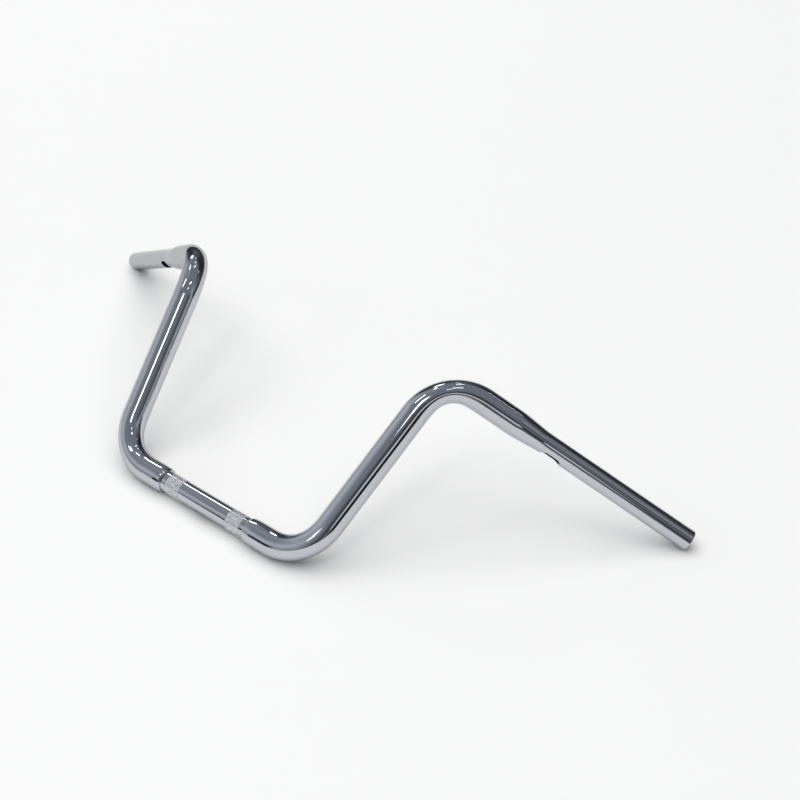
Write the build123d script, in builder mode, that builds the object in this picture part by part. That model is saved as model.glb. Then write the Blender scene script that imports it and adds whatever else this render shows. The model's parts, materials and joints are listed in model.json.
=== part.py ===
from build123d import *
import os
from math import acos, atan, atan2, cos, degrees, hypot, radians, sin, sqrt, tan

# Ape hanger handlebar: two fat bent side tubes, a thinner centre tube that the clamps hold, and thin grips.
# It is drawn as it stands on a motorcycle: clamp section along X, rider behind it at +Y, +Z up.
# It is then tipped back until it lies on a floor, on its base and on both bar ends. All sizes are in mm.

# Side tubes, of 1 1/4 inch tubing
TUBE_DIAMETER = 31.75
TUBE_WALL = 3.0
SIDE_RUN = 32.0
LOWER_BEND_RADIUS = 60.0
RISE = 260.0
RISER_FLARE = 41.0
UPPER_BEND_RADIUS = 60.0
UPPER_RUN = 44.0

# Centre tube, of 1 inch tubing, plugged and welded into both side tubes
CENTRE_DIAMETER = 25.4
CENTRE_WALL = 3.0
CENTRE_LENGTH = 134.0
PLUG_DEPTH = 20.0

# Ends of the side tubes at the centre tube: bevelled, and polished down a little towards the bevel
SHOULDER_BEVEL_LENGTH = 2.0
SHOULDER_BEVEL_DROP = 1.2
SHOULDER_BEVEL_LIMIT = 0.5
SHOULDER_SLOPE_LENGTH = 8.0
SHOULDER_SLOPE_DROP = 0.6
SLOPE_BLEND_RADIUS = 80.0

# Grips, swaged down to 1 inch, swept back towards the rider and drooping a little
GRIP_DIAMETER = 25.4
GRIP_WALL = 3.0
GRIP_LENGTH = 206.0
GRIP_SWEEP = 38.3
GRIP_DROOP = 4.0
TAPER_LENGTH = 35.0
SWAGE_BLEND_RADIUS = 40.0
BAR_END_BEVEL = 1.2
BAR_MOUTH_BEVEL = 0.6

# Wire slots in the underside: one in each grip, beside the taper, and one in the middle of the centre tube
GRIP_SLOT_CENTRES = 12.0
GRIP_SLOT_WIDTH = 16.0
GRIP_SLOT_SETBACK = 0.8
CENTRE_SLOT_CENTRES = 11.0
CENTRE_SLOT_WIDTH = 10.0
SLOT_EDGE_CHAMFER = 0.5

# Rounds of the sum that finds the angle at which the bar lies
SETTLE_ROUNDS = 12

# Radii of the three tube sizes, outside and inside
tube_radius = TUBE_DIAMETER / 2
tube_bore = tube_radius - TUBE_WALL
centre_radius = CENTRE_DIAMETER / 2
centre_bore = centre_radius - CENTRE_WALL
grip_radius = GRIP_DIAMETER / 2
grip_bore = grip_radius - GRIP_WALL

# Directions of the riser and the grip on the rider's left, and the bend corners that they meet at
base_axis = Vector(1, 0, 0)
riser_axis = Vector(RISER_FLARE, 0, RISE).normalized()
sweep_angle, droop_angle = radians(GRIP_SWEEP), radians(GRIP_DROOP)
grip_level = Vector(cos(sweep_angle), sin(sweep_angle), 0)
grip_axis = grip_level * cos(droop_angle) - Vector(0, 0, sin(droop_angle))
lower_tangent = LOWER_BEND_RADIUS * tan(radians(base_axis.get_angle(riser_axis)) / 2)
upper_tangent = UPPER_BEND_RADIUS * tan(radians(riser_axis.get_angle(grip_axis)) / 2)
shoulder_x = CENTRE_LENGTH / 2
lower_corner = base_axis * (shoulder_x + SIDE_RUN + lower_tangent)
upper_corner = lower_corner + Vector(RISER_FLARE, 0, RISE)
taper_start = upper_corner + grip_axis * (upper_tangent + UPPER_RUN)
bar_end = taper_start + grip_axis * (TAPER_LENGTH + GRIP_LENGTH)

# Bevel of the shoulder, at most a share of its step, and where its slope has run out into the plain tube
shoulder_radius = tube_radius - SHOULDER_SLOPE_DROP
bevel_drop = min(SHOULDER_BEVEL_DROP, SHOULDER_BEVEL_LIMIT * (shoulder_radius - centre_radius))
bevel_radius = shoulder_radius - bevel_drop
bevel_end_x = shoulder_x + SHOULDER_BEVEL_LENGTH
slope_end_x = bevel_end_x + SHOULDER_SLOPE_LENGTH
slope_blend = SLOPE_BLEND_RADIUS * tan(atan(SHOULDER_SLOPE_DROP / SHOULDER_SLOPE_LENGTH) / 2)
side_start_x = slope_end_x + 2 * slope_blend
plug_end_x = shoulder_x + PLUG_DEPTH

# Swaged taper, and how far before it the profile turned about the grip axis begins
swage_blend = SWAGE_BLEND_RADIUS * tan(atan((tube_radius - grip_radius) / TAPER_LENGTH) / 2)
swage_lead = 2 * swage_blend
side_end = taper_start - grip_axis * swage_lead
grip_end = TAPER_LENGTH + GRIP_LENGTH

# Planes: along the grip with its own up, and facing down at the wire slots
grip_up = (Vector(0, 0, 1) - grip_axis * grip_axis.Z).normalized()
along_grip = Plane(origin=taper_start, x_dir=grip_axis, z_dir=grip_axis.cross(grip_up))
grip_slot_half = (GRIP_SLOT_CENTRES + GRIP_SLOT_WIDTH) / 2
grip_slot_reach = TAPER_LENGTH + swage_blend + GRIP_SLOT_SETBACK + grip_slot_half
under_grip = Plane(origin=taper_start + grip_axis * grip_slot_reach, x_dir=grip_axis, z_dir=-grip_up)
centre_slot_half = (CENTRE_SLOT_CENTRES + CENTRE_SLOT_WIDTH) / 2
under_centre = Plane(origin=(0, 0, 0), x_dir=base_axis, z_dir=(0, 0, -1))


def outer_rim(cut_edges, slot_plane, slot_half, outside_radius):
    """The edges of a slot that lie on the outside of its tube."""
    def on_rim(edge):
        middle = slot_plane.to_local_coords(edge.center())
        depth = outside_radius - hypot(middle.Y, middle.Z)
        return abs(middle.X) < slot_half and depth < SLOT_EDGE_CHAMFER

    return cut_edges.filter_by(on_rim)


with BuildPart() as upright_bar:
    # Half of the centre tube with the bevelled shoulder beside it, turned about the clamp axis
    with BuildSketch(Plane.XZ):
        with BuildLine():
            FilletPolyline(
                (0, 0), (0, centre_radius), (shoulder_x, centre_radius), (shoulder_x, bevel_radius),
                (bevel_end_x, shoulder_radius), (slope_end_x, tube_radius),
                (side_start_x, tube_radius), (side_start_x, 0),
                radius=(0, 0, 0, 0, 0, SLOPE_BLEND_RADIUS, 0, 0), close=True,
            )
        make_face()
    revolve(axis=Axis.X)

    # Side tube through its two bends
    with BuildLine() as side_run:
        FilletPolyline(
            base_axis * side_start_x, lower_corner, upper_corner, side_end,
            radius=(LOWER_BEND_RADIUS, UPPER_BEND_RADIUS),
        )
    with BuildSketch(Plane(origin=base_axis * side_start_x, z_dir=base_axis)):
        Circle(tube_radius)
    sweep(path=side_run.wire())

    # Swaged taper and grip, turned about the grip axis
    with BuildSketch(along_grip):
        with BuildLine():
            FilletPolyline(
                (-swage_lead, 0), (-swage_lead, tube_radius), (0, tube_radius), (TAPER_LENGTH, grip_radius),
                (grip_end - BAR_END_BEVEL, grip_radius), (grip_end, grip_radius - BAR_END_BEVEL),
                (grip_end, 0),
                radius=(0, 0, SWAGE_BLEND_RADIUS, SWAGE_BLEND_RADIUS, 0, 0, 0), close=True,
            )
        make_face()
    revolve(axis=Axis(taper_start, grip_axis))

    # Bore of the centre tube, as far as its plug reaches into the side tube
    with BuildSketch(Plane.YZ):
        Circle(centre_bore)
    extrude(amount=plug_end_x, mode=Mode.SUBTRACT)

    # Bore of the side tube through the same two bends
    with BuildLine() as bore_run:
        FilletPolyline(
            base_axis * plug_end_x, lower_corner, upper_corner, side_end,
            radius=(LOWER_BEND_RADIUS, UPPER_BEND_RADIUS),
        )
    with BuildSketch(Plane(origin=base_axis * plug_end_x, z_dir=base_axis)):
        Circle(tube_bore)
    sweep(path=bore_run.wire(), mode=Mode.SUBTRACT)

    # Bore of the taper and grip, bevelled at its mouth
    with BuildSketch(along_grip):
        with BuildLine():
            Polyline(
                (-swage_lead, 0), (-swage_lead, tube_bore), (0, tube_bore), (TAPER_LENGTH, grip_bore),
                (grip_end - BAR_MOUTH_BEVEL, grip_bore), (grip_end, grip_bore + BAR_MOUTH_BEVEL),
                (grip_end, 0), close=True,
            )
        make_face()
    revolve(axis=Axis(taper_start, grip_axis), mode=Mode.SUBTRACT)

    # Wire slot in the underside of the grip, with its outer edge broken
    with BuildSketch(under_grip):
        SlotCenterToCenter(GRIP_SLOT_CENTRES, GRIP_SLOT_WIDTH)
    extrude(amount=GRIP_DIAMETER, mode=Mode.SUBTRACT)
    chamfer(outer_rim(edges(Select.LAST), under_grip, grip_slot_half, grip_radius), SLOT_EDGE_CHAMFER)

    # The other side is its mirror image
    mirror(about=Plane.YZ)

    # Wire slot in the underside of the centre tube, with its outer edge broken
    with BuildSketch(under_centre):
        SlotCenterToCenter(CENTRE_SLOT_CENTRES, CENTRE_SLOT_WIDTH)
    extrude(amount=CENTRE_DIAMETER, mode=Mode.SUBTRACT)
    chamfer(outer_rim(edges(Select.LAST), under_centre, centre_slot_half, centre_radius), SLOT_EDGE_CHAMFER)

# Angle at which the rims where both bar ends' bevels begin come down to the floor that the base tube lies on
rim_centre = bar_end - grip_axis * BAR_END_BEVEL
rim_reach, rim_lean = hypot(rim_centre.Y, rim_centre.Z), atan2(rim_centre.Y, rim_centre.Z)
lying_angle = 0.0
for settle_round in range(SETTLE_ROUNDS):
    grip_climb = grip_axis.Z * cos(lying_angle) - grip_axis.Y * sin(lying_angle)
    rim_drop = grip_radius * sqrt(1 - grip_climb**2)
    lying_angle = acos((rim_drop - tube_radius) / rim_reach) - rim_lean

with BuildPart() as handlebar:
    add(upright_bar.part, rotation=(-degrees(lying_angle), 0, 0))

handlebar.part.label = "handlebar"
os.makedirs("parts", exist_ok=True)
export_step(handlebar.part, "parts/handlebar.step")
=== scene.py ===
import json
import math
import bmesh
import bpy
from mathutils import Matrix, Vector


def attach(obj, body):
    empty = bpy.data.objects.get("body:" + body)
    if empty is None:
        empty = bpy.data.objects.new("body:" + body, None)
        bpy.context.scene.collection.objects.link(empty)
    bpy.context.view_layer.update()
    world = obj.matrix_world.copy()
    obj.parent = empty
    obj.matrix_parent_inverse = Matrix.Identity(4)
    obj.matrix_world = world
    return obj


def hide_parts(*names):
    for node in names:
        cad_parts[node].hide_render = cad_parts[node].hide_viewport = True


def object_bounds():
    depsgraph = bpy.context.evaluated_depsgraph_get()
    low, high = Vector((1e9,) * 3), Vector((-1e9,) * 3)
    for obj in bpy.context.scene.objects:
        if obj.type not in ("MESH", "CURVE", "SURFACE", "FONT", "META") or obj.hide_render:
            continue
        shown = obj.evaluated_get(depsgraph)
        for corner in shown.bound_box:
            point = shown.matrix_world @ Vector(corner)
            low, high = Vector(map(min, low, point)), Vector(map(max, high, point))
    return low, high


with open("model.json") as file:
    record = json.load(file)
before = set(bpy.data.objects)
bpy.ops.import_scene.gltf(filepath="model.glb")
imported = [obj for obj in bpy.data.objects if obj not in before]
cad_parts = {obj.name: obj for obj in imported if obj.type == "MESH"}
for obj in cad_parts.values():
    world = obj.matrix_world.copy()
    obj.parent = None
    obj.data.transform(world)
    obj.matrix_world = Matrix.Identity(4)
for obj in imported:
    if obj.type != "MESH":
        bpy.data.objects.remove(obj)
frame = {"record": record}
cad_low, cad_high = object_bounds()

# Bent tube: two fat steel side tubes, each bent twice round a former, on the ends of a thinner centre tube
# that is plugged and welded into them. The grips are swaged down to the size of the centre tube. Then all of
# it is polished and plated as one piece. Lengths along the bar run on its middle line, from its middle.
MILLIMETRE = 0.001
mounts = {mount["name"]: mount for mount in frame["record"]["mounts"]}
clamp_radius = mounts["clamp_section"]["dims"]["r_mm"] * MILLIMETRE
grip_radius = mounts["grip_left"]["dims"]["r_mm"] * MILLIMETRE
grip_bore = mounts["bar_end_left"]["dims"]["r_mm"] * MILLIMETRE
grip_axis = Vector(mounts["grip_left"]["axis"])
grip_middle = Vector(mounts["grip_left"]["pos_m"])
tube_radius = -cad_low.z
wall = grip_radius - grip_bore
tube_bore = tube_radius - wall
clamp_bore = clamp_radius - wall

# The corners at which the straight runs meet, and how far along the bar each bend begins and ends
BEND_RADIUS = 0.060
LOWER_CORNER_X = 0.15028
CORNER_TO_GRIP_MIDDLE = 0.2389
GRIP_LENGTH = 0.206
TAPER_LENGTH = 0.035
bar_end = grip_middle + grip_axis * GRIP_LENGTH / 2
upper_corner = grip_middle - grip_axis * CORNER_TO_GRIP_MIDDLE
lower_corner = Vector((LOWER_CORNER_X, 0, 0))
riser = upper_corner - lower_corner
left_corners = [lower_corner, upper_corner, bar_end]
right_corners = [Vector((-corner.x, corner.y, corner.z)) for corner in reversed(left_corners)]
corners = right_corners + left_corners

lower_turn = lower_corner.angle(riser)
upper_turn = riser.angle(grip_axis)
lower_tangent = BEND_RADIUS * math.tan(lower_turn / 2)
upper_tangent = BEND_RADIUS * math.tan(upper_turn / 2)
lower_bend_start = LOWER_CORNER_X - lower_tangent
lower_bend_end = lower_bend_start + BEND_RADIUS * lower_turn
upper_bend_start = lower_bend_end + riser.length - lower_tangent - upper_tangent
upper_bend_end = upper_bend_start + BEND_RADIUS * upper_turn
half_length = upper_bend_end + (bar_end - upper_corner).length - upper_tangent
taper_end = half_length - GRIP_LENGTH
taper_start = taper_end - TAPER_LENGTH

# Wall's outline: corners as (length along the bar, radius, rounding), first outside, then back in the bore
PLUG_DEPTH = 0.020
BEVEL_LENGTH = 0.0020
BEVEL_DROP = 0.0012
BEVEL_ROUNDING = 0.0008
SLOPE_LENGTH = 0.0080
SLOPE_DROP = 0.0006
SLOPE_ROUNDING = 0.080
SWAGE_ROUNDING = 0.110
END_BEVEL = 0.0012
END_ROUNDING = 0.0005
MOUTH_BEVEL = 0.0006
KNURL_START = 0.0380
KNURL_END = 0.0602
KNURL_SINK = 0.00025
shoulder = mounts["clamp_section"]["dims"]["length_mm"] * MILLIMETRE / 2
bevel_end = shoulder + BEVEL_LENGTH
slope_end = shoulder + BEVEL_LENGTH + SLOPE_LENGTH
slope_radius = tube_radius - SLOPE_DROP
knurl_floor = clamp_radius - KNURL_SINK
outside_corners = [
    (0, clamp_radius, 0),
    (KNURL_START, clamp_radius, 0),
    (KNURL_START, knurl_floor, 0),
    (KNURL_END, knurl_floor, 0),
    (KNURL_END, clamp_radius, 0),
    (shoulder, clamp_radius, 0),
    (shoulder, slope_radius - BEVEL_DROP, BEVEL_ROUNDING / 2),
    (bevel_end, slope_radius, BEVEL_ROUNDING),
    (slope_end, tube_radius, SLOPE_ROUNDING),
    (taper_start, tube_radius, SWAGE_ROUNDING),
    (taper_end, grip_radius, SWAGE_ROUNDING),
    (half_length - END_BEVEL, grip_radius, END_ROUNDING),
    (half_length, grip_radius - END_BEVEL, END_ROUNDING),
]
bore_corners = [
    (half_length, grip_bore + MOUTH_BEVEL, 0),
    (half_length - MOUTH_BEVEL, grip_bore, 0),
    (taper_end, grip_bore, 0),
    (taper_start, tube_bore, 0),
    (shoulder + PLUG_DEPTH, tube_bore, 0),
    (shoulder + PLUG_DEPTH, clamp_bore, 0),
    (0, clamp_bore, 0),
]

ROUNDING_STEPS = 6
OUTSIDE_SPACING = math.radians(1.5)
BORE_SPACING = math.radians(4.5)


def rounded(outline_corners):
    """The points of an outline through its corners, each with its rounding as an arc."""
    points = []
    for index, (length, radius, rounding) in enumerate(outline_corners):
        corner = Vector((length, radius))
        if not rounding:
            points.append(corner)
            continue
        behind = (corner - Vector(outline_corners[index - 1][:2])).normalized()
        # From the last corner the outline goes straight down the bar's end face
        ahead = Vector((0, -1))
        if index + 1 < len(outline_corners):
            ahead = (Vector(outline_corners[index + 1][:2]) - corner).normalized()
        turn = behind.angle_signed(ahead)
        start = corner - behind * rounding * math.tan(abs(turn) / 2)
        side = Vector((behind.y, -behind.x)) * math.copysign(rounding, turn)
        for step in range(ROUNDING_STEPS + 1):
            swing = Matrix.Rotation(-turn * step / ROUNDING_STEPS, 2)
            points.append(start + side + swing @ -side)
    return points


def with_bend_rings(points, spacing):
    """An outline with more points where the bar bends, so that the bends come out round."""
    rings = []
    for start, turn in ((lower_bend_start, lower_turn), (upper_bend_start, upper_turn)):
        count = math.ceil(turn / spacing)
        rings += [start + BEND_RADIUS * turn * step / count for step in range(count + 1)]
    outline = [points[0]]
    for point in points[1:]:
        last = outline[-1]
        between = []
        for ring in rings:
            if min(last.x, point.x) < ring < max(last.x, point.x):
                between.append(last.lerp(point, (ring - last.x) / (point.x - last.x)))
        outline += sorted(between, key=lambda place: abs(place.x - last.x)) + [point]
    return outline


# A mesh of points carries the outline into the tree. Its third number is 0 outside and 1 in the bore.
outside = [(*point, 0) for point in with_bend_rings(rounded(outside_corners), OUTSIDE_SPACING)]
bore = [(*point, 1) for point in with_bend_rings(rounded(bore_corners), BORE_SPACING)]
half_outline = outside + bore
other_half = [(-length, radius, in_bore) for length, radius, in_bore in reversed(half_outline[1:-1])]
outline_mesh = bpy.data.meshes.new("wall_outline")
outline_mesh.from_pydata(half_outline + other_half, [], [])
wall_outline = bpy.data.objects.new("wall_outline", outline_mesh)
bpy.context.scene.collection.objects.link(wall_outline)

line_mesh = bpy.data.meshes.new("middle_line")
line_mesh.from_pydata(corners, [(index, index + 1) for index in range(len(corners) - 1)], [])
bar = bpy.data.objects.new("bent_tube", line_mesh)
bpy.context.scene.collection.objects.link(bar)


def linear(hex_colour):
    """An sRGB hex colour as linear red, green, blue and alpha."""
    parts = [int(hex_colour[start:start + 2], 16) / 255 for start in (1, 3, 5)]
    return [part / 12.92 if part < 0.04045 else ((part + 0.055) / 1.055) ** 2.4 for part in parts] + [1.0]


def add(tree, kind, inputs=None, stops=None, **settings):
    """Adds a node; each input is a plain value or another node's output, and stops are a colour ramp's."""
    node = tree.nodes.new(kind)
    for name, value in settings.items():
        setattr(node, name, value)
    for key, value in (inputs or {}).items():
        if isinstance(value, bpy.types.NodeSocket):
            tree.links.new(value, node.inputs[key])
        else:
            node.inputs[key].default_value = value
    if stops:
        while len(node.color_ramp.elements) < len(stops):
            node.color_ramp.elements.new(0.5)
        for element, (position, colour) in zip(node.color_ramp.elements, stops):
            element.position = position
            element.color = linear(colour)
    return node


# Chrome plate: a thin bright layer on polished nickel, a cool mirror that shows the room. The polishing
# wheel leaves faint clouds of haze, and the tube under the plate is never quite even, so straight lines
# waver in it.
POLISH_HAZE = 40 * MILLIMETRE
PLATE_WAVE = 30 * MILLIMETRE
PLATE_WAVE_HEIGHT = 0.015 * MILLIMETRE
polished_chrome = bpy.data.materials.new("polished_chrome")
polished_chrome.use_nodes = True
tree = polished_chrome.node_tree
shader = tree.nodes["Principled BSDF"]
shader.inputs["Base Color"].default_value = linear("#c1c4ca")
shader.inputs["Metallic"].default_value = 1.0
shader.inputs["Specular Tint"].default_value = linear("#dcdcdc")
place = add(tree, "ShaderNodeTexCoord").outputs["Object"]
haze = add(tree, "ShaderNodeTexNoise", {"Vector": place, "Scale": 1 / POLISH_HAZE, "Detail": 4.0})
roughness = add(tree, "ShaderNodeMapRange", {
    "Value": haze.outputs["Fac"], "From Min": 0.3, "From Max": 0.7, "To Min": 0.025, "To Max": 0.06})
tree.links.new(roughness.outputs["Result"], shader.inputs["Roughness"])
wave = add(tree, "ShaderNodeTexNoise", {"Vector": place, "Scale": 1 / PLATE_WAVE, "Detail": 1.0})
ripple = add(tree, "ShaderNodeBump", {
    "Height": wave.outputs["Fac"], "Strength": 1.0, "Distance": PLATE_WAVE_HEIGHT})
tree.links.new(ripple.outputs["Normal"], shader.inputs["Normal"])

# Bare steel: the tube's drawn bore, which the plating bath hardly reaches, dull and mottled by dark scale
SCALE_SPOT = 4 * MILLIMETRE
bare_steel = bpy.data.materials.new("bare_steel")
bare_steel.use_nodes = True
tree = bare_steel.node_tree
shader = tree.nodes["Principled BSDF"]
shader.inputs["Metallic"].default_value = 1.0
place = add(tree, "ShaderNodeTexCoord").outputs["Object"]
scale = add(tree, "ShaderNodeTexNoise", {"Vector": place, "Scale": 1 / SCALE_SPOT, "Detail": 5.0})
tone = add(tree, "ShaderNodeValToRGB", {"Fac": scale.outputs["Fac"]}, [(0.40, "#4a4440"), (0.62, "#7a756f")])
tree.links.new(tone.outputs["Color"], shader.inputs["Base Color"])
roughness = add(tree, "ShaderNodeMapRange", {"Value": scale.outputs["Fac"], "To Min": 0.65, "To Max": 0.40})
tree.links.new(roughness.outputs["Result"], shader.inputs["Roughness"])


def new_tree(name, sizes):
    """A Geometry Nodes tree with a named input for each size: (tree, its inputs, its output node)."""
    tree = bpy.data.node_groups.new(name, "GeometryNodeTree")
    tree.interface.new_socket("Geometry", in_out="OUTPUT", socket_type="NodeSocketGeometry")
    tree.interface.new_socket("Geometry", in_out="INPUT", socket_type="NodeSocketGeometry")
    for size, kind in sizes.items():
        tree.interface.new_socket(size, in_out="INPUT", socket_type="NodeSocket" + kind)
    return tree, tree.nodes.new("NodeGroupInput").outputs, tree.nodes.new("NodeGroupOutput")


def put_on(piece, tree, values):
    """Puts a tree on a piece and sets its inputs by the sockets' identifiers."""
    modifier = piece.modifiers.new(tree.name, "NODES")
    modifier.node_group = tree
    for item in tree.interface.items_tree:
        if item.name in values:
            modifier[item.identifier] = values[item.name]


# Tree that sets the wall's outline round the bent middle line: each point of the outline becomes a ring
BEND_POINTS = 120
SIDES = 128
WHOLLY_IN_BORE = 0.99
MERGE_DISTANCE = 0.001 * MILLIMETRE
tree, given, result = new_tree("bent tube", {
    "Wall Outline": "Object", "Bend Radius": "Float", "Bend Points": "Int", "Sides": "Int",
    "Outside": "Material", "Bore": "Material"})
line = add(tree, "GeometryNodeMeshToCurve", {"Mesh": given["Geometry"]})
line = add(tree, "GeometryNodeFilletCurve", {
    "Curve": line.outputs["Curve"], "Radius": given["Bend Radius"], "Count": given["Bend Points"]},
    mode="POLY")
line_length = add(tree, "GeometryNodeCurveLength", {"Curve": line.outputs["Curve"]})
outline = add(tree, "GeometryNodeObjectInfo", {"Object": given["Wall Outline"]}).outputs["Geometry"]
outline_points = add(tree, "GeometryNodeAttributeDomainSize", {"Geometry": outline}).outputs["Point Count"]

# The rings as a grid, whose last ring and last column lie on the first
ring_count = add(tree, "ShaderNodeMath", {0: outline_points, 1: 1}, operation="ADD").outputs[0]
ring_points = add(tree, "ShaderNodeMath", {0: given["Sides"], 1: 1}, operation="ADD").outputs[0]
grid = add(tree, "GeometryNodeMeshGrid", {"Vertices X": ring_count, "Vertices Y": ring_points})
index = add(tree, "GeometryNodeInputIndex").outputs[0]
ring = add(tree, "ShaderNodeMath", {0: index, 1: ring_points}, operation="DIVIDE").outputs[0]
ring = add(tree, "ShaderNodeMath", {0: ring}, operation="FLOOR").outputs[0]
ring = add(tree, "ShaderNodeMath", {0: ring, 1: outline_points}, operation="MODULO").outputs[0]
side = add(tree, "ShaderNodeMath", {0: index, 1: ring_points}, operation="MODULO").outputs[0]
outline_place = add(tree, "GeometryNodeInputPosition").outputs[0]
sample = add(tree, "GeometryNodeSampleIndex", {
    "Geometry": outline, "Value": outline_place, "Index": ring}, data_type="FLOAT_VECTOR")
of_outline = add(tree, "ShaderNodeSeparateXYZ", {0: sample.outputs["Value"]})

# The place of each point: out from the middle line by the outline's radius, at its side's angle
from_start = add(tree, "ShaderNodeMath", {
    0: line_length.outputs["Length"], 1: 0.5, 2: of_outline.outputs["X"]}, operation="MULTIPLY_ADD")
spot = add(tree, "GeometryNodeSampleCurve", {
    "Curves": line.outputs["Curve"], "Length": from_start.outputs[0]}, mode="LENGTH", use_all_curves=True)
across = add(tree, "ShaderNodeVectorMath", {
    0: spot.outputs["Tangent"], 1: spot.outputs["Normal"]}, operation="CROSS_PRODUCT")
one_side = add(tree, "ShaderNodeMath", {0: 2 * math.pi, 1: given["Sides"]}, operation="DIVIDE")
angle = add(tree, "ShaderNodeMath", {0: side, 1: one_side.outputs[0]}, operation="MULTIPLY").outputs[0]
cosine = add(tree, "ShaderNodeMath", {0: angle}, operation="COSINE").outputs[0]
sine = add(tree, "ShaderNodeMath", {0: angle}, operation="SINE").outputs[0]
up = add(tree, "ShaderNodeVectorMath", {0: spot.outputs["Normal"], "Scale": cosine}, operation="SCALE")
across = add(tree, "ShaderNodeVectorMath", {0: across.outputs[0], "Scale": sine}, operation="SCALE")
out = add(tree, "ShaderNodeVectorMath", {0: across.outputs[0], 1: up.outputs[0]}, operation="ADD")
out = add(tree, "ShaderNodeVectorMath", {
    0: out.outputs[0], "Scale": of_outline.outputs["Y"]}, operation="SCALE")
place = add(tree, "ShaderNodeVectorMath", {
    0: out.outputs[0], 1: spot.outputs["Position"]}, operation="ADD")
tube = add(tree, "GeometryNodeSetPosition", {"Geometry": grid.outputs["Mesh"], "Position": place.outputs[0]})

# Plate outside and on the end faces, bare steel on faces that lie wholly in the bore
in_bore = add(tree, "GeometryNodeFieldOnDomain", {0: of_outline.outputs["Z"]}, domain="POINT")
only_bore = add(tree, "ShaderNodeMath", {
    0: in_bore.outputs[0], 1: WHOLLY_IN_BORE}, operation="GREATER_THAN")
tube = add(tree, "GeometryNodeSetMaterial", {
    "Geometry": tube.outputs["Geometry"], "Material": given["Outside"]})
tube = add(tree, "GeometryNodeSetMaterial", {
    "Geometry": tube.outputs["Geometry"], "Selection": only_bore.outputs[0], "Material": given["Bore"]})
tube = add(tree, "GeometryNodeMergeByDistance", {
    "Geometry": tube.outputs["Geometry"], "Distance": MERGE_DISTANCE})
tree.links.new(tube.outputs["Geometry"], result.inputs["Geometry"])
put_on(bar, tree, {
    "Wall Outline": wall_outline, "Bend Radius": BEND_RADIUS, "Bend Points": BEND_POINTS, "Sides": SIDES,
    "Outside": polished_chrome, "Bore": bare_steel})

# Wire slots: an oblong hole in the underside of each grip and one in the middle of the clamp section, for
# switch wires that run inside the bar. They are milled through one wall before plating, and their edges are
# broken, so the plate runs on round the edge and into the hole.
GRIP_SLOT_CENTRES = 0.012
GRIP_SLOT_WIDTH = 0.016
GRIP_SLOT_FROM_TAPER = 0.0166
CENTRE_SLOT_CENTRES = 0.011
CENTRE_SLOT_WIDTH = 0.010
SLOT_EDGE = 0.0005
SLOT_STEPS = 20
CUTTER_REACH = 1.2
mounted_up = Vector((0, riser.y, riser.z)).normalized()
grip_up = (mounted_up - grip_axis * mounted_up.dot(grip_axis)).normalized()
grip_slot = grip_middle - grip_axis * (GRIP_LENGTH / 2 - GRIP_SLOT_FROM_TAPER)
mirror = Matrix.Scale(-1, 3, (1, 0, 0))


def cut_slot(shape, middle, along, outward, radius, centres, width):
    """Adds a closed cutter for one slot to shape, flared where it passes the bar's surface."""
    across = outward.cross(along)
    flare = 2 * SLOT_EDGE
    # Each level: how much wider, whether it follows the bar's surface, and its height above that or the axis
    levels = [
        (0, False, 0),
        (0, True, -SLOT_EDGE),
        (flare, True, SLOT_EDGE),
        (flare, False, radius * CUTTER_REACH),
    ]
    rings = []
    for grow, on_surface, lift in levels:
        ring = []
        for end in (1, -1):
            for step in range(SLOT_STEPS + 1):
                swing = math.pi * (step / SLOT_STEPS - 0.5)
                x = end * (centres / 2 + (width / 2 + grow) * math.cos(swing))
                y = end * (width / 2 + grow) * math.sin(swing)
                z = lift + (math.sqrt(radius**2 - y**2) if on_surface else 0)
                ring.append(shape.verts.new(middle + along * x + across * y + outward * z))
        rings.append(ring)
    for low, high in zip(rings, rings[1:]):
        for index, vertex in enumerate(low):
            shape.faces.new((low[index - 1], vertex, high[index], high[index - 1]))
    shape.faces.new(reversed(rings[0]))
    shape.faces.new(rings[-1])


cutters = bmesh.new()
cut_slot(cutters, grip_slot, grip_axis, -grip_up, grip_radius, GRIP_SLOT_CENTRES, GRIP_SLOT_WIDTH)
cut_slot(cutters, mirror @ grip_slot, mirror @ grip_axis, mirror @ -grip_up, grip_radius, GRIP_SLOT_CENTRES,
         GRIP_SLOT_WIDTH)
cut_slot(cutters, Vector(), Vector((1, 0, 0)), -mounted_up, clamp_radius, CENTRE_SLOT_CENTRES,
         CENTRE_SLOT_WIDTH)
bmesh.ops.recalc_face_normals(cutters, faces=cutters.faces)
cutter_mesh = bpy.data.meshes.new("slot_cutters")
cutters.to_mesh(cutter_mesh)
cutters.free()
cutter_mesh.materials.append(polished_chrome)
slot_cutters = bpy.data.objects.new("slot_cutters", cutter_mesh)
bpy.context.scene.collection.objects.link(slot_cutters)
slots = bar.modifiers.new("wire slots", "BOOLEAN")
slots.object = slot_cutters
slots.operation = "DIFFERENCE"
slots.solver = "EXACT"
slots.material_mode = "TRANSFER"

# Knurl: a band of rolled diamonds near each shoulder, which the clamps bite on. A wheel presses them into
# the tube before plating, so they are the same metal, a little proud of it. A real pitch of about 1 mm is
# too fine to show, so it is drawn as 1.8 mm.
KNURL_PITCH = 1.8 * MILLIMETRE
KNURL_PROUD = 0.00030
KNURL_FLAT = 0.5
KNURL_FOOT = 0.00005
columns = round(2 * math.pi * clamp_radius / KNURL_PITCH)
rows = round((KNURL_END - KNURL_START) / (KNURL_PITCH / 2)) - 1

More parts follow.
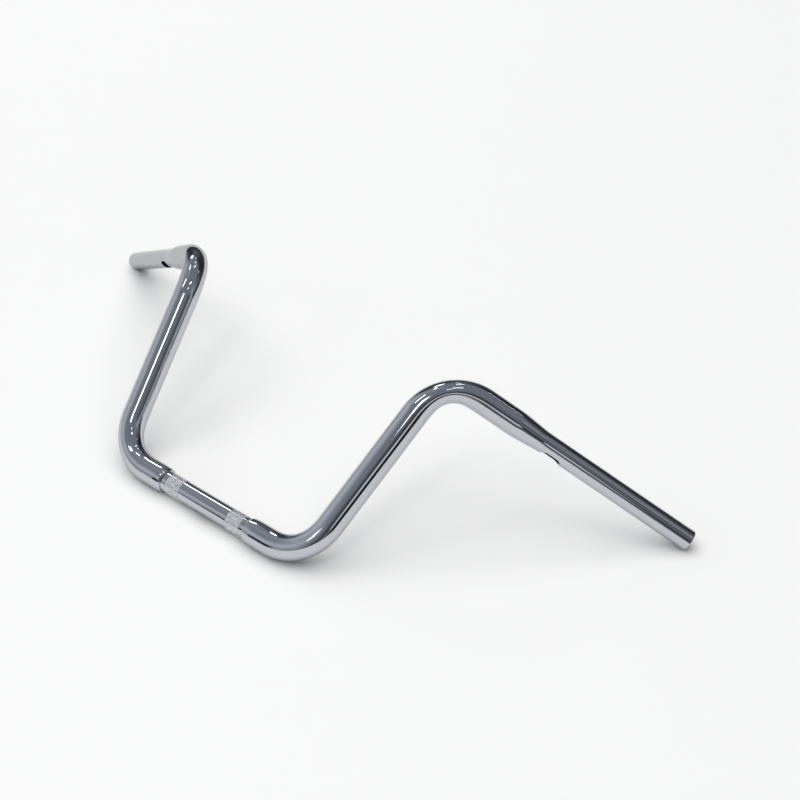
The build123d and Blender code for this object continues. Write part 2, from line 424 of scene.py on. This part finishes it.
# Knurled chrome: plating over sharp pressed diamonds, paler and satin, because their flanks scatter the
# light. Part of it comes out of the grooves as from a matt surface, so it isn't quite all metal to the eye.
KNURL_WEAR = 3 * MILLIMETRE
knurled_chrome = bpy.data.materials.new("knurled_chrome")
knurled_chrome.use_nodes = True
tree = knurled_chrome.node_tree
shader = tree.nodes["Principled BSDF"]
shader.inputs["Metallic"].default_value = 0.8
place = add(tree, "ShaderNodeTexCoord").outputs["Object"]
wear = add(tree, "ShaderNodeTexNoise", {"Vector": place, "Scale": 1 / KNURL_WEAR, "Detail": 2.0})
tone = add(tree, "ShaderNodeValToRGB", {"Fac": wear.outputs["Fac"]}, [(0.35, "#dcdee1"), (0.65, "#fbfbfb")])
tree.links.new(tone.outputs["Color"], shader.inputs["Base Color"])
roughness = add(tree, "ShaderNodeMapRange", {"Value": wear.outputs["Fac"], "To Min": 0.34, "To Max": 0.18})
tree.links.new(roughness.outputs["Result"], shader.inputs["Roughness"])

# Tree that sets diamonds round the clamp section in staggered rows, and a second band on the other side
tree, given, result = new_tree("knurl", {
    "Foot Radius": "Float", "Start": "Float", "Rows": "Int", "Columns": "Int", "Row Pitch": "Float",
    "Half Width": "Float", "Height": "Float", "Flat": "Float", "Material": "Material"})
grid = add(tree, "GeometryNodeMeshGrid", {"Vertices X": given["Rows"], "Vertices Y": given["Columns"]})
index = add(tree, "GeometryNodeInputIndex").outputs[0]
row = add(tree, "ShaderNodeMath", {0: index, 1: given["Columns"]}, operation="DIVIDE").outputs[0]
row = add(tree, "ShaderNodeMath", {0: row}, operation="FLOOR").outputs[0]
column = add(tree, "ShaderNodeMath", {0: index, 1: given["Columns"]}, operation="MODULO").outputs[0]
odd = add(tree, "ShaderNodeMath", {0: row, 1: 2.0}, operation="MODULO").outputs[0]
column = add(tree, "ShaderNodeMath", {0: odd, 1: 0.5, 2: column}, operation="MULTIPLY_ADD").outputs[0]
step = add(tree, "ShaderNodeMath", {0: 2 * math.pi, 1: given["Columns"]}, operation="DIVIDE").outputs[0]
angle = add(tree, "ShaderNodeMath", {0: column, 1: step}, operation="MULTIPLY").outputs[0]
cosine = add(tree, "ShaderNodeMath", {0: angle}, operation="COSINE").outputs[0]
sine = add(tree, "ShaderNodeMath", {0: angle}, operation="SINE").outputs[0]
outward = add(tree, "ShaderNodeCombineXYZ", {"Y": cosine, "Z": sine}).outputs[0]
along = add(tree, "ShaderNodeMath", {0: row, 1: 1.0}, operation="ADD").outputs[0]
along = add(tree, "ShaderNodeMath", {
    0: along, 1: given["Row Pitch"], 2: given["Start"]}, operation="MULTIPLY_ADD").outputs[0]
along = add(tree, "ShaderNodeCombineXYZ", {"X": along}).outputs[0]
foot = add(tree, "ShaderNodeVectorMath", {0: outward, "Scale": given["Foot Radius"]}, operation="SCALE")
foot = add(tree, "ShaderNodeVectorMath", {0: foot.outputs[0], 1: along}, operation="ADD")
places = add(tree, "GeometryNodeSetPosition", {
    "Geometry": grid.outputs["Mesh"], "Position": foot.outputs[0]})
diamond = add(tree, "GeometryNodeMeshCone", {
    "Vertices": 4, "Radius Top": given["Flat"], "Radius Bottom": 1.0, "Depth": 1.0})
size = add(tree, "ShaderNodeCombineXYZ", {
    "X": given["Row Pitch"], "Y": given["Half Width"], "Z": given["Height"]})
turned = add(tree, "FunctionNodeAxesToRotation", {
    "Primary Axis": outward, "Secondary Axis": (1, 0, 0)}, primary_axis="Z", secondary_axis="X")
band = add(tree, "GeometryNodeInstanceOnPoints", {
    "Points": places.outputs["Geometry"], "Instance": diamond.outputs["Mesh"],
    "Rotation": turned.outputs["Rotation"], "Scale": size.outputs[0]}).outputs["Instances"]
other_band = add(tree, "GeometryNodeTransform", {"Geometry": band, "Rotation": (0, 0, math.pi)})
bands = add(tree, "GeometryNodeJoinGeometry", {"Geometry": band})
tree.links.new(other_band.outputs["Geometry"], bands.inputs["Geometry"])
knurl = add(tree, "GeometryNodeRealizeInstances", {"Geometry": bands.outputs["Geometry"]})
knurl = add(tree, "GeometryNodeSetMaterial", {
    "Geometry": knurl.outputs["Geometry"], "Material": given["Material"]})
joined = add(tree, "GeometryNodeJoinGeometry", {"Geometry": given["Geometry"]})
tree.links.new(knurl.outputs["Geometry"], joined.inputs["Geometry"])
tree.links.new(joined.outputs["Geometry"], result.inputs["Geometry"])
put_on(bar, tree, {
    "Foot Radius": knurl_floor - KNURL_FOOT, "Start": KNURL_START, "Rows": rows, "Columns": columns,
    "Row Pitch": KNURL_PITCH / 2, "Half Width": math.pi * clamp_radius / columns,
    "Height": KNURL_SINK + KNURL_PROUD + KNURL_FOOT, "Flat": KNURL_FLAT, "Material": knurled_chrome})

# Whole bar: tube, slots and knurl as one plain mesh, since it is one piece of plated steel
depsgraph = bpy.context.evaluated_depsgraph_get()
bar_mesh = bpy.data.meshes.new_from_object(bar.evaluated_get(depsgraph), depsgraph=depsgraph)
for helper in (bar, wall_outline, slot_cutters):
    bpy.data.objects.remove(helper)
handlebar = bpy.data.objects.new("handlebar_tube", bar_mesh)
bpy.context.scene.collection.objects.link(handlebar)
for index in reversed(range(len(bar_mesh.materials))):
    if bar_mesh.materials[index] is None:
        bar_mesh.materials.pop(index=index)

# Flattened bends: as the tube is drawn round the former, it is pressed a little flat on the inside of the
# bend, most of all in the upper bends. Each ring there becomes an oval whose outer side keeps its place,
# and the flattening runs out towards both ends of the bend.
UPPER_FLAT = 0.0054
LOWER_FLAT = 0.0016
SLACK = 0.01
bend_flats = [UPPER_FLAT, LOWER_FLAT, LOWER_FLAT, UPPER_FLAT]
for before, corner, after, flat in zip(corners, corners[1:], corners[2:], bend_flats):
    turn = (corner - before).angle(after - corner)
    axis = (corner - before).cross(after - corner).normalized()
    inward = ((after - corner).normalized() + (before - corner).normalized()).normalized()
    centre = corner + inward * BEND_RADIUS / math.cos(turn / 2)
    for vertex in bar_mesh.vertices:
        spoke = vertex.co - centre
        aside = spoke.dot(axis)
        spoke -= axis * aside
        from_middle = spoke.angle(-inward)
        inside = (BEND_RADIUS + tube_radius - spoke.length) / (2 * tube_radius)
        in_tube = abs(aside) < tube_radius * (1 + SLACK) and -SLACK < inside < 1 + SLACK
        if in_tube and from_middle < turn / 2:
            vertex.co += spoke.normalized() * flat * inside * math.cos(math.pi * from_middle / turn) ** 2

SHARP_ANGLE = math.radians(28)
bar_mesh.polygons.foreach_set("use_smooth", [True] * len(bar_mesh.polygons))
bar_mesh.set_sharp_from_angle(angle=SHARP_ANGLE)
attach(handlebar, "root")
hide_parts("handlebar")

# Floor: a sheet of matt white board that the bar lies on, far wider than the picture. White board throws the
# light back evenly all round and has no gloss of its own.
FLOOR_HALF = 60.0
floor_mesh = bpy.data.meshes.new("floor")
floor_mesh.from_pydata(
    [(x * FLOOR_HALF, y * FLOOR_HALF, cad_low.z) for x, y in ((-1, -1), (1, -1), (1, 1), (-1, 1))],
    [], [(0, 1, 2, 3)])
floor = bpy.data.objects.new("floor", floor_mesh)
bpy.context.scene.collection.objects.link(floor)
white_board = bpy.data.materials.new("white_board")
white_board.use_nodes = True
shader = white_board.node_tree.nodes["Principled BSDF"]
shader.inputs["Base Color"].default_value = linear("#f8f6f3")
shader.inputs["Roughness"].default_value = 1.0
shader.inputs["Specular IOR Level"].default_value = 0.0
floor_mesh.materials.append(white_board)

# Room: what the chrome mirrors, all of it far away. A dim blue-grey ceiling stands over walls of different
# greys, with lighter and darker shelves along them. Each ring of colours runs once round the horizon.
WALLS_START = math.sin(math.radians(16))
WALLS_FULL = math.sin(math.radians(19))
CEILING_START = math.sin(math.radians(35))
CEILING_FULL = math.sin(math.radians(47))
SHELF_SCALE = (2, 0, 16)
DARKEST_SHELF = 0.65
LIGHTEST_SHELF = 1.35
world = bpy.data.worlds.new("room")
world.use_nodes = True
bpy.context.scene.world = world
tree = world.node_tree
direction = add(tree, "ShaderNodeTexCoord").outputs["Generated"]
parts = add(tree, "ShaderNodeSeparateXYZ", {0: direction})
height = parts.outputs["Z"]
bearing = add(tree, "ShaderNodeMath", {
    0: parts.outputs["X"], 1: parts.outputs["Y"]}, operation="ARCTAN2").outputs[0]
way_round = add(tree, "ShaderNodeMapRange", {
    "Value": bearing, "From Min": -math.pi, "From Max": math.pi}).outputs["Result"]


def round_the_room(stops):
    """Stops by azimuth, in degrees from +Y towards +X, as positions along a colour ramp."""
    return [((azimuth + 180) / 360, colour) for azimuth, colour in stops]


foot_of_walls = add(tree, "ShaderNodeValToRGB", {"Fac": way_round}, round_the_room([
    (-180, "#a8acb2"), (-158, "#b0b4ba"), (-152, "#2a2e34"), (-146.5, "#2a2e34"), (-143.5, "#a6aab0"),
    (-125, "#c6cad0"), (-80, "#c6cad0"), (-66, "#3c4046"), (-30, "#50545a"), (10, "#32363c"),
    (40, "#50545a"), (58, "#44484e"), (69, "#44484e"), (76, "#bcc0c6"), (84, "#bcc0c6"),
    (93, "#24282e"), (119, "#24282e"), (127, "#6c7076"), (134, "#6c7076"), (144, "#50545a"),
    (160, "#686c72"), (180, "#a8acb2")]))
walls = add(tree, "ShaderNodeValToRGB", {"Fac": way_round}, round_the_room([
    (-180, "#a8acb2"), (-160, "#ccd0d6"), (-85, "#c8ccd2"), (-72, "#5c6066"), (-55, "#3a3e44"),
    (-35, "#70747a"), (-10, "#363a40"), (20, "#363a40"), (40, "#686c72"), (80, "#a8acb2"),
    (90, "#666a70"), (97, "#565a60"), (103, "#7a7e84"), (110, "#74787e"), (117, "#3e4248"),
    (130, "#52565c"), (145, "#50545a"), (158, "#787c82"), (180, "#a8acb2")]))
ceiling = add(tree, "ShaderNodeValToRGB", {"Fac": way_round}, round_the_room([
    (-180, "#888e96"), (-130, "#8e949c"), (-85, "#a2a8b0"), (-40, "#888e96"), (60, "#868c94"),
    (150, "#848a92"), (180, "#888e96")]))
wall_share = add(tree, "ShaderNodeMapRange", {
    "Value": height, "From Min": WALLS_START, "From Max": WALLS_FULL})
ceiling_share = add(tree, "ShaderNodeMapRange", {
    "Value": height, "From Min": CEILING_START, "From Max": CEILING_FULL})
room = add(tree, "ShaderNodeMix", {
    "Factor": wall_share.outputs["Result"], "A": foot_of_walls.outputs["Color"],
    "B": walls.outputs["Color"]}, data_type="RGBA")
shelf = add(tree, "ShaderNodeCombineXYZ", {"X": bearing, "Z": height})
shelf = add(tree, "ShaderNodeVectorMath", {0: shelf.outputs[0], 1: SHELF_SCALE}, operation="MULTIPLY")
shelves = add(tree, "ShaderNodeTexNoise", {"Vector": shelf.outputs[0], "Scale": 1.0, "Detail": 6.0})
shade = add(tree, "ShaderNodeMapRange", {
    "Value": shelves.outputs["Fac"], "From Min": 0.3, "From Max": 0.7,
    "To Min": DARKEST_SHELF, "To Max": LIGHTEST_SHELF})
room = add(tree, "ShaderNodeVectorMath", {
    0: room.outputs["Result"], "Scale": shade.outputs["Result"]}, operation="SCALE")
room = add(tree, "ShaderNodeMix", {
    "Factor": ceiling_share.outputs["Result"], "A": room.outputs["Vector"], "B": ceiling.outputs["Color"]},
    data_type="RGBA")
tree.links.new(room.outputs["Result"], tree.nodes["Background"].inputs["Color"])

# Lamps: fluorescent tubes under the ceiling, which the chrome shows as white streaks and spots, and a far
# pale card, which it shows as one long line. A wide soft light from above is for the floor, and is kept
# out of the mirror. Each tube is given by its two ends and its width, in ceiling heights.
CEILING_HEIGHT = 2.5
TUBE_RADIANCE = 5.0
TUBES = [
    ((0.15, -0.42), (0.305, -0.825), 0.16),
    ((-0.91, 0.66), (-1.03, 0.94), 0.28),
    ((-0.38, -1.03), (-0.24, -1.50), 0.04),
    ((-0.23, -1.04), (-0.14, -1.45), 0.04),
    ((-0.56, 1.01), (-0.52, 1.14), 0.03),
    ((-0.29, 0.74), (-0.27, 0.89), 0.03),
    ((-0.13, 0.52), (-0.10, 0.77), 0.03),
    ((0.27, 0.03), (0.36, 0.20), 0.05),
    ((-0.56, 0.35), (-0.44, 0.18), 0.06),
    ((-0.53, -0.38), (-0.39, -0.12), 0.08),
    ((0.34, -0.16), (0.36, -0.06), 0.03),
    ((0.36, 1.20), (0.64, 1.30), 0.03),
]
CARD_PLACE = (4.81, -3.09, 2.20)
CARD_AIM = (0.18, 0.09, 0.10)
CARD_WIDTH = 1.37
CARD_HEIGHT = 0.98
CARD_RADIANCE = 0.68
OVERHEAD_SPREAD = math.radians(80)
OVERHEAD_STRENGTH = 1.9


def hang(name, place, aim, width, length, radiance):
    """Hangs an area lamp at place, facing aim, of a radiance that would show as that colour value."""
    lamp = bpy.data.lights.new(name, "AREA")
    lamp.shape = "RECTANGLE"
    lamp.size = width
    lamp.size_y = length
    lamp.energy = radiance * math.pi * width * length
    hung = bpy.data.objects.new(name, lamp)
    hung.location = place
    hung.rotation_euler = (Vector(place) - Vector(aim)).to_track_quat("Z", "Y").to_euler()
    bpy.context.scene.collection.objects.link(hung)
    return hung


for number, (start, end, width) in enumerate(TUBES):
    first = Vector((*start, 1)) * CEILING_HEIGHT
    last = Vector((*end, 1)) * CEILING_HEIGHT
    middle = (first + last) / 2
    along = last - first
    below = middle - Vector((0, 0, 1))
    lit = hang(f"tube {number}", middle, below, width * CEILING_HEIGHT, along.length, TUBE_RADIANCE)
    lit.rotation_euler.z = math.atan2(-along.x, along.y)
hang("card", CARD_PLACE, CARD_AIM, CARD_WIDTH, CARD_HEIGHT, CARD_RADIANCE)
overhead_light = bpy.data.lights.new("overhead", "SUN")
overhead_light.angle = OVERHEAD_SPREAD
overhead_light.energy = OVERHEAD_STRENGTH
overhead = bpy.data.objects.new("overhead", overhead_light)
overhead.visible_glossy = False
bpy.context.scene.collection.objects.link(overhead)

# Camera: looks down on the bar from its front, on the rider's left, through a long lens from two metres
# away, and is turned a little about its own line of sight
AIM = Vector((0.1146, 0.2113, 0.0884))
AZIMUTH = math.radians(39.63)
ELEVATION = math.radians(37.01)
ROLL = math.radians(0.51)
DISTANCE = 2.0
SENSOR = 36.0
LENS = 76.5
camera_data = bpy.data.cameras.new("camera")
camera_data.sensor_width = SENSOR
camera_data.lens = LENS
camera = bpy.data.objects.new("camera", camera_data)
back = Vector((
    math.sin(AZIMUTH) * math.cos(ELEVATION), -math.cos(AZIMUTH) * math.cos(ELEVATION), math.sin(ELEVATION)))
facing = back.to_track_quat("Z", "Y").to_matrix() @ Matrix.Rotation(ROLL, 3, "Z")
camera.matrix_world = Matrix.Translation(AIM + back * DISTANCE) @ facing.to_4x4()
bpy.context.scene.collection.objects.link(camera)
bpy.context.scene.camera = camera
bpy.context.scene.view_settings.view_transform = "Standard"
